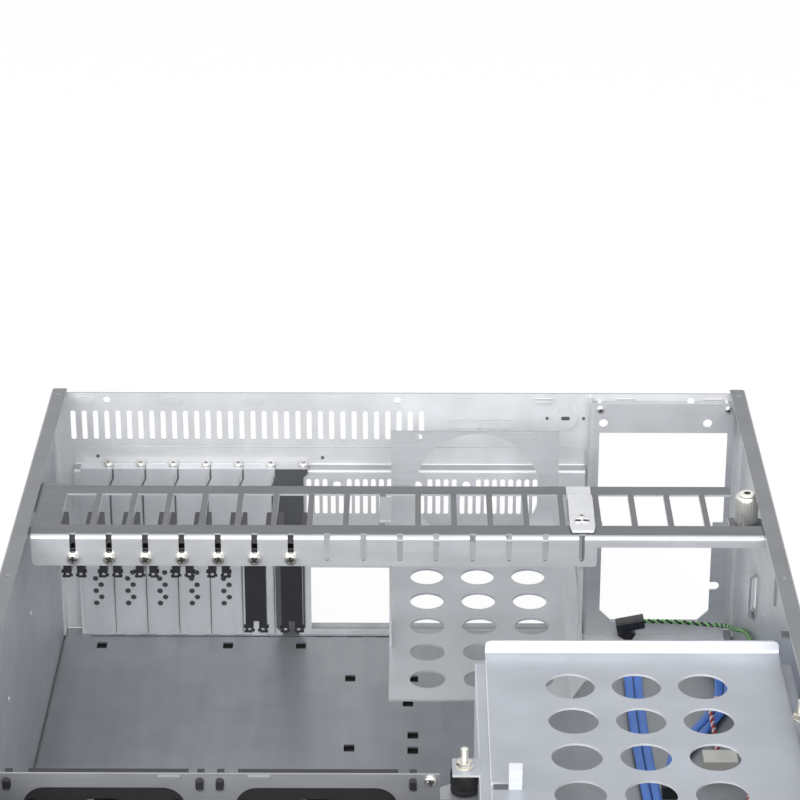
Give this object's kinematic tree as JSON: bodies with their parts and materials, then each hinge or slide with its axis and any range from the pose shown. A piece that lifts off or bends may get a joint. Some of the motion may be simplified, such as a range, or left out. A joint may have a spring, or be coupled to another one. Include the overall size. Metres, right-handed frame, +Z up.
{
  "type": "empty rackmount server case",
  "caption": "Open-topped rackmount computer case in folded steel, with rear card slots, a supply opening, a card hold-down bar, a hung tray, a drive cage and a fan bulkhead.",
  "frame": {"origin": "bottom centre of the bounding box, on the underside of the front panel's lower edge", "axes": "+X to the right seen from the front, +Y from the front panel towards the rear panel, +Z up"},
  "size_m": [0.4826, 0.543, 0.1768],
  "materials": {
    "galvanised_steel": "satin",
    "bright_steel": "satin",
    "polished_steel": "polished",
    "nickel": "polished",
    "brass": "satin",
    "black_plastic": "matte",
    "dark_steel": "satin",
    "rubber": "matte",
    "front_paint": "textured",
    "light_lens": "gloss",
    "white_plastic": "matte",
    "signal_jacket": "gloss",
    "power_jacket": "gloss",
    "blue_jacket": "gloss"
  },
  "bodies": {
    "case": {"floor_pan": "galvanised_steel", "left_side_wall": "galvanised_steel", "right_side_wall": "galvanised_steel", "rear_panel": "galvanised_steel", "slot_frame": "galvanised_steel", "psu_plate": "galvanised_steel", "hold_down_bar": "galvanised_steel", "bar_bracket_left": "galvanised_steel", "bar_bracket_right": "galvanised_steel", "fan_tray": "galvanised_steel", "drive_cage": "galvanised_steel", "fan_bulkhead": "galvanised_steel", "slot_cover_1": "bright_steel", "slot_cover_2": "bright_steel", "slot_cover_3": "bright_steel", "slot_cover_4": "bright_steel", "slot_cover_5": "bright_steel", "slot_cover_6": "bright_steel", "slot_cover_7": "dark_steel", "tray_clip": "polished_steel", "tray_clip_screw": "polished_steel", "slot_cover_screws": "nickel", "psu_plate_screws": "nickel", "bulkhead_screw": "nickel", "damper_screws": "nickel", "fan_carriers": "black_plastic", "fan_frame_1": "black_plastic", "fan_frame_2": "black_plastic", "bay_blanks": "black_plastic", "switch_housings": "black_plastic", "signal_plug": "black_plastic", "blue_plug": "black_plastic", "cage_dampers": "rubber", "front_panel": "front_paint", "rack_handle_left": "front_paint", "rack_handle_right": "front_paint", "status_lights": "light_lens", "power_plug": "white_plastic", "signal_cable": "signal_jacket", "power_cable": "power_jacket", "blue_cable": "blue_jacket"},
    "clip_1": {"card_clip_1": "black_plastic", "clip_screw_1": "nickel"},
    "clip_2": {"card_clip_2": "black_plastic", "clip_screw_2": "nickel"},
    "clip_3": {"card_clip_3": "black_plastic", "clip_screw_3": "nickel"},
    "clip_4": {"card_clip_4": "black_plastic", "clip_screw_4": "nickel"},
    "clip_5": {"card_clip_5": "black_plastic", "clip_screw_5": "nickel"},
    "clip_6": {"card_clip_6": "black_plastic", "clip_screw_6": "nickel"},
    "clip_7": {"card_clip_7": "black_plastic", "clip_screw_7": "nickel"},
    "thumbscrew": {"bar_thumbscrew": "brass"},
    "rotor_1": {"fan_rotor_1": "black_plastic"},
    "rotor_2": {"fan_rotor_2": "black_plastic"},
    "power": {"power_button": "black_plastic"},
    "reset": {"reset_button": "black_plastic"}
  },
  "joints": [
    {"name": "clip_1_slide", "type": "slide", "parent": "case", "child": "clip_1", "axis": [0, 0, 1], "range_m": [0, 0.008]},
    {"name": "clip_2_slide", "type": "slide", "parent": "case", "child": "clip_2", "axis": [0, 0, 1], "range_m": [0, 0.008]},
    {"name": "clip_3_slide", "type": "slide", "parent": "case", "child": "clip_3", "axis": [0, 0, 1], "range_m": [0, 0.008]},
    {"name": "clip_4_slide", "type": "slide", "parent": "case", "child": "clip_4", "axis": [0, 0, 1], "range_m": [0, 0.008]},
    {"name": "clip_5_slide", "type": "slide", "parent": "case", "child": "clip_5", "axis": [0, 0, 1], "range_m": [0, 0.008]},
    {"name": "clip_6_slide", "type": "slide", "parent": "case", "child": "clip_6", "axis": [0, 0, 1], "range_m": [0, 0.008]},
    {"name": "clip_7_slide", "type": "slide", "parent": "case", "child": "clip_7", "axis": [0, 0, 1], "range_m": [0, 0.008]},
    {"name": "thumbscrew_turn", "type": "hinge", "parent": "case", "child": "thumbscrew", "pos_m": [0.2014, 0.1295, 0.16], "axis": [0, 0, 1], "continuous": true},
    {"name": "fan_1_spin", "type": "hinge", "parent": "case", "child": "rotor_1", "pos_m": [-0.1425, -0.1315, 0.095], "axis": [0, 1, 0], "continuous": true},
    {"name": "fan_2_spin", "type": "hinge", "parent": "case", "child": "rotor_2", "pos_m": [-0.0377, -0.1315, 0.095], "axis": [0, 1, 0], "continuous": true},
    {"name": "power_press", "type": "slide", "parent": "case", "child": "power", "axis": [0, 1, 0], "range_m": [0, 0.0015], "stiffness_N_per_m": 800, "springref_m": -0.0004},
    {"name": "reset_press", "type": "slide", "parent": "case", "child": "reset", "axis": [0, 1, 0], "range_m": [0, 0.0015], "stiffness_N_per_m": 500, "springref_m": -0.0004}
  ]
}
